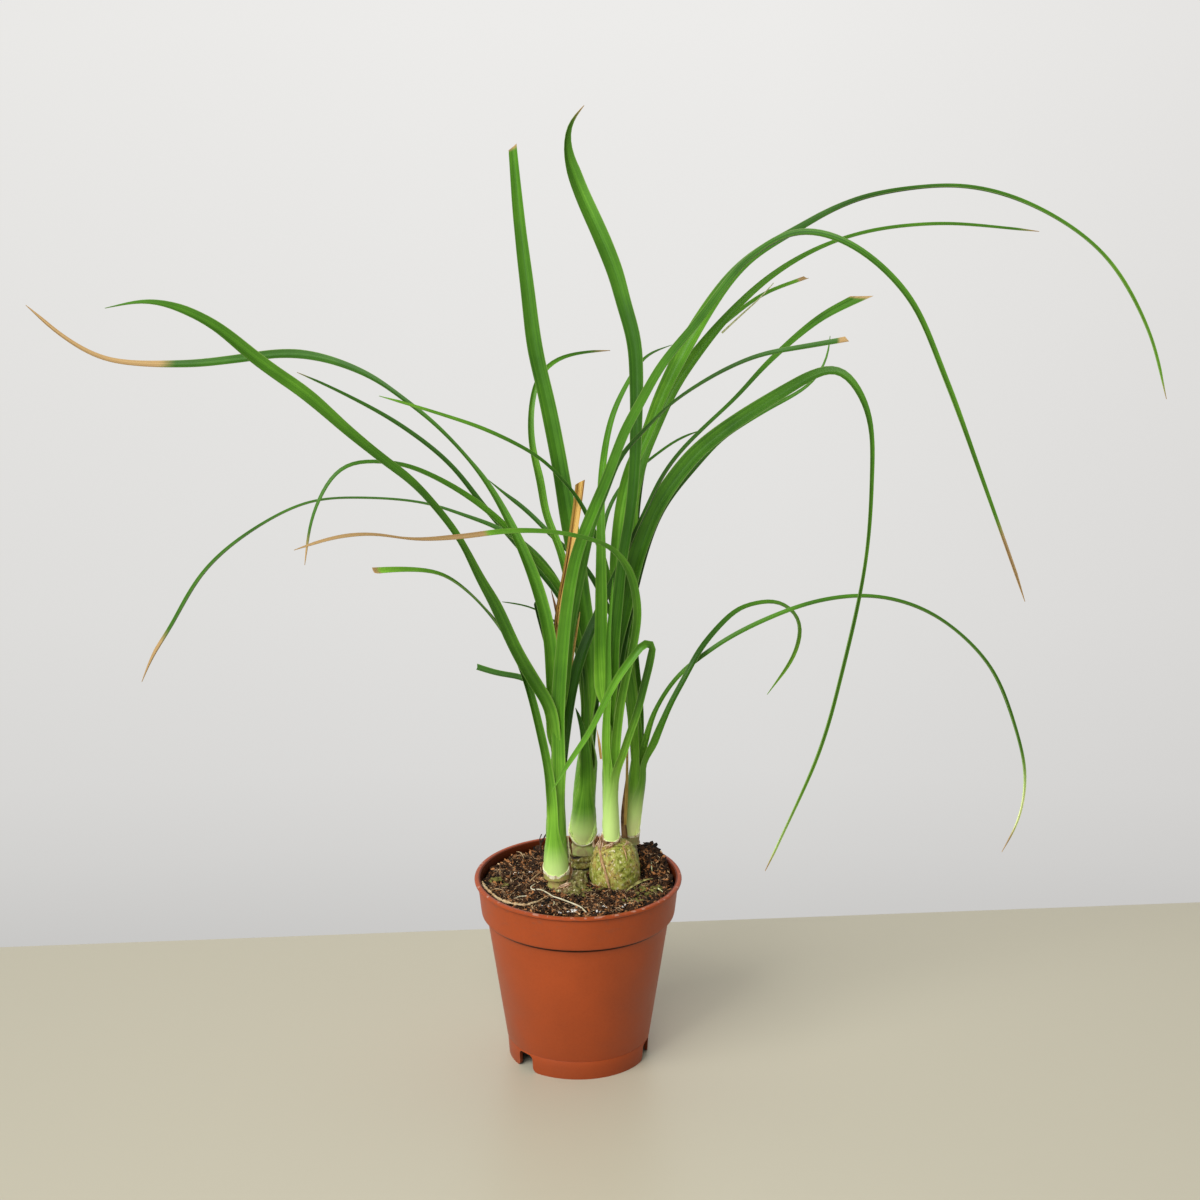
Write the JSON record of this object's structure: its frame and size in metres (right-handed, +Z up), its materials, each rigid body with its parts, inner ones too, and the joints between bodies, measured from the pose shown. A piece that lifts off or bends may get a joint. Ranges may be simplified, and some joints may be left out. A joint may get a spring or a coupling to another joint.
{
  "type": "potted ponytail palm",
  "caption": "Young ponytail palms with round bulbs and long arching leaves, in a small round plastic nursery pot filled with peat.",
  "frame": {"origin": "middle of the pot's foot, on the ground", "axes": "+Z up, along the pot's axis; +X to the right and -Y to the viewer as seen from the front"},
  "size_m": [0.4927, 0.1928, 0.4134],
  "materials": {
    "terracotta_plastic": "satin, thin moulded polypropylene",
    "peat": "moist dark peat with fibres and perlite",
    "bark": "swollen stem, green to brown, dull",
    "papery_sheath": "dry and papery",
    "leaf": "satin green leaf with fine lengthwise veins",
    "dry_leaf": "dry straw",
    "root": "matte root",
    "bark_wood": "dark twig"
  },
  "bodies": {
    "root": {"pot": "terracotta_plastic", "soil": "peat", "bulb_left": "bark", "bulb_back": "bark", "bulb_middle": "bark", "bulb_right": "bark", "collar_left": "papery_sheath", "collar_back": "papery_sheath", "collar_middle": "papery_sheath", "collar_right": "papery_sheath", "leaves_left": "leaf", "leaves_back": "leaf", "leaves_middle": "leaf", "leaves_right": "leaf", "straw_leaf": "dry_leaf", "cream_root": "root", "white_root": "root", "stick": "bark_wood", "twig": "bark_wood"}
  },
  "joints": []
}
